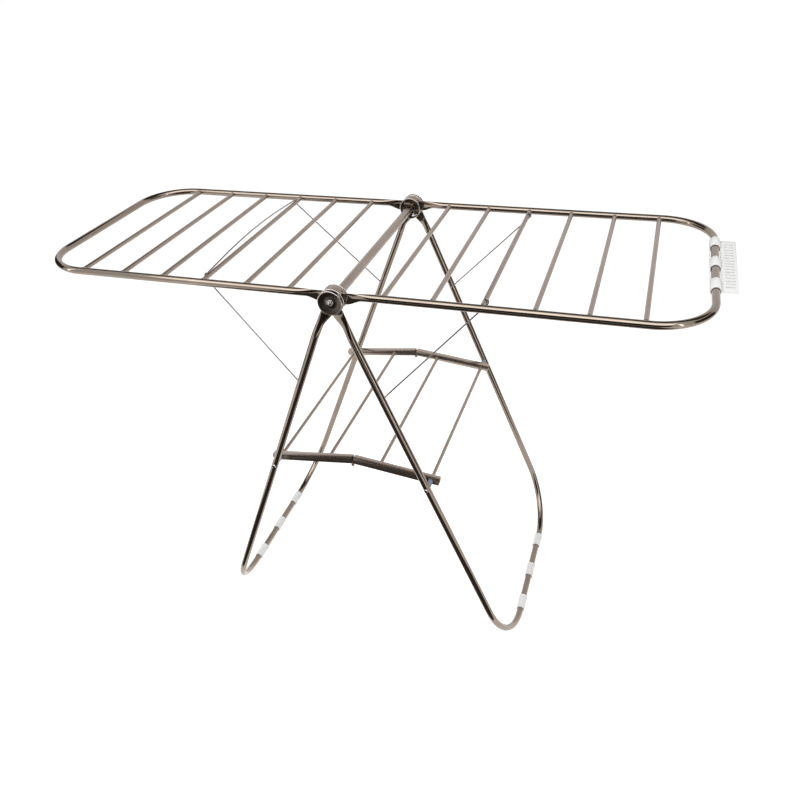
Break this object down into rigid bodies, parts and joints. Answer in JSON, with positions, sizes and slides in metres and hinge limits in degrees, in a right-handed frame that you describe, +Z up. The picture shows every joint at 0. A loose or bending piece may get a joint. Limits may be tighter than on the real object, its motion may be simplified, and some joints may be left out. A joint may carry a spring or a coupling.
{
  "type": "clothes drying rack",
  "caption": "Folding steel clothes airer: two long runged wings and a small folding shelf on crossed U-shaped legs, with a hanger comb on one wing.",
  "frame": {"origin": "centre of the footprint on the floor", "axes": "+X along the wings towards the one with the hanger comb, +Y along the rungs to the back, +Z up"},
  "size_m": [1.4636, 0.5864, 0.9453],
  "materials": {
    "polished_steel": "polished stainless tube with a warm tint",
    "satin_steel": "satin stainless tube with a warm tint",
    "bright_steel": "bright turned or drawn steel",
    "dark_steel": "dark pressed steel",
    "white_plastic": "white moulded plastic",
    "grey_plastic": "blue-grey moulded plastic"
  },
  "bodies": {
    "hub": {"centre_tube": "satin_steel", "hub_cap_back": "dark_steel", "hub_cap_front": "dark_steel", "hub_drum_back": "bright_steel", "hub_drum_front": "bright_steel", "hub_pin_back": "bright_steel", "hub_pin_front": "bright_steel", "hub_spacer_back": "dark_steel", "hub_spacer_front": "dark_steel"},
    "leg_left": {"foot_sleeve_left_1": "white_plastic", "foot_sleeve_left_2": "white_plastic", "foot_sleeve_left_3": "white_plastic", "leg_frame_left": "polished_steel", "shelf_rivet_left_back": "bright_steel", "shelf_rivet_left_front": "bright_steel"},
    "leg_right": {"foot_sleeve_right_1": "white_plastic", "foot_sleeve_right_2": "white_plastic", "foot_sleeve_right_3": "white_plastic", "leg_frame_right": "polished_steel", "shelf_rivet_right_back": "bright_steel", "shelf_rivet_right_front": "bright_steel"},
    "wing_left": {"wing_frame_left": "polished_steel", "wing_rung_left_1": "satin_steel", "wing_rung_left_2": "satin_steel", "wing_rung_left_3": "satin_steel", "wing_rung_left_4": "satin_steel", "wing_rung_left_5": "satin_steel", "wing_rung_left_6": "satin_steel"},
    "wing_right": {"wing_frame_right": "polished_steel", "wing_rung_right_1": "satin_steel", "wing_rung_right_2": "satin_steel", "wing_rung_right_3": "satin_steel", "wing_rung_right_4": "satin_steel", "wing_rung_right_5": "satin_steel", "wing_rung_right_6": "satin_steel"},
    "stay_left": {"stay_left": "bright_steel"},
    "stay_right": {"stay_right": "bright_steel"},
    "shelf_left": {"shelf_bush_left_back": "grey_plastic", "shelf_bush_left_front": "grey_plastic", "shelf_channel_left_back": "satin_steel", "shelf_channel_left_front": "satin_steel", "shelf_rung_left_inner": "satin_steel", "shelf_rung_left_outer": "satin_steel", "shelf_hinge_pin_back": "bright_steel", "shelf_hinge_pin_front": "bright_steel"},
    "shelf_right": {"shelf_bush_right_back": "grey_plastic", "shelf_bush_right_front": "grey_plastic", "shelf_channel_right_back": "satin_steel", "shelf_channel_right_front": "satin_steel", "shelf_rung_right_inner": "satin_steel", "shelf_rung_right_outer": "satin_steel"},
    "comb": {"hanger_comb": "white_plastic"}
  },
  "joints": [
    {"name": "leg_left_fold", "type": "hinge", "parent": "hub", "child": "leg_left", "pos_m": [-0.01675, 0, 0.91892], "axis": [0, -1, 0], "range_deg": [0, 21.5]},
    {"name": "leg_right_fold", "type": "hinge", "parent": "hub", "child": "leg_right", "pos_m": [-0.01675, 0, 0.91892], "axis": [0, 1, 0], "range_deg": [0, 21.5]},
    {"name": "wing_left_fold", "type": "hinge", "parent": "leg_left", "child": "wing_left", "pos_m": [-0.01675, 0, 0.91892], "axis": [0, -1, 0], "range_deg": [0, 60]},
    {"name": "wing_right_fold", "type": "hinge", "parent": "leg_right", "child": "wing_right", "pos_m": [-0.01675, 0, 0.91892], "axis": [0, 1, 0], "range_deg": [0, 60]},
    {"name": "stay_left_swing", "type": "hinge", "parent": "wing_left", "child": "stay_left", "pos_m": [-0.31275, 0, 0.92692], "axis": [0, 1, 0], "range_deg": [0, 121.01]},
    {"name": "stay_right_swing", "type": "hinge", "parent": "wing_right", "child": "stay_right", "pos_m": [0.27925, 0, 0.92692], "axis": [0, -1, 0], "range_deg": [0, 121.01]},
    {"name": "shelf_left_turn", "type": "hinge", "parent": "leg_left", "child": "shelf_left", "pos_m": [-0.1993, 0, 0.48846], "axis": [0, -1, 0], "range_deg": [0, 60.86]},
    {"name": "shelf_middle_fold", "type": "hinge", "parent": "shelf_left", "child": "shelf_right", "pos_m": [-0.01675, 0, 0.5008], "axis": [0, 1, 0], "range_deg": [0, 164.71]},
    {"name": "comb_swivel", "type": "hinge", "parent": "wing_right", "child": "comb", "pos_m": [0.69025, 0, 0.92692], "axis": [0, 1, 0], "range_deg": [-90, 90]}
  ],
  "couplings": [
    {"joint": "leg_right_fold", "follows": "leg_left_fold", "ratio": 1},
    {"joint": "shelf_left_turn", "follows": "leg_left_fold", "ratio": 2.8301},
    {"joint": "shelf_middle_fold", "follows": "leg_left_fold", "ratio": 7.6602},
    {"joint": "stay_left_swing", "follows": "wing_left_fold", "ratio": 2.0167},
    {"joint": "stay_right_swing", "follows": "wing_right_fold", "ratio": 2.0167}
  ]
}
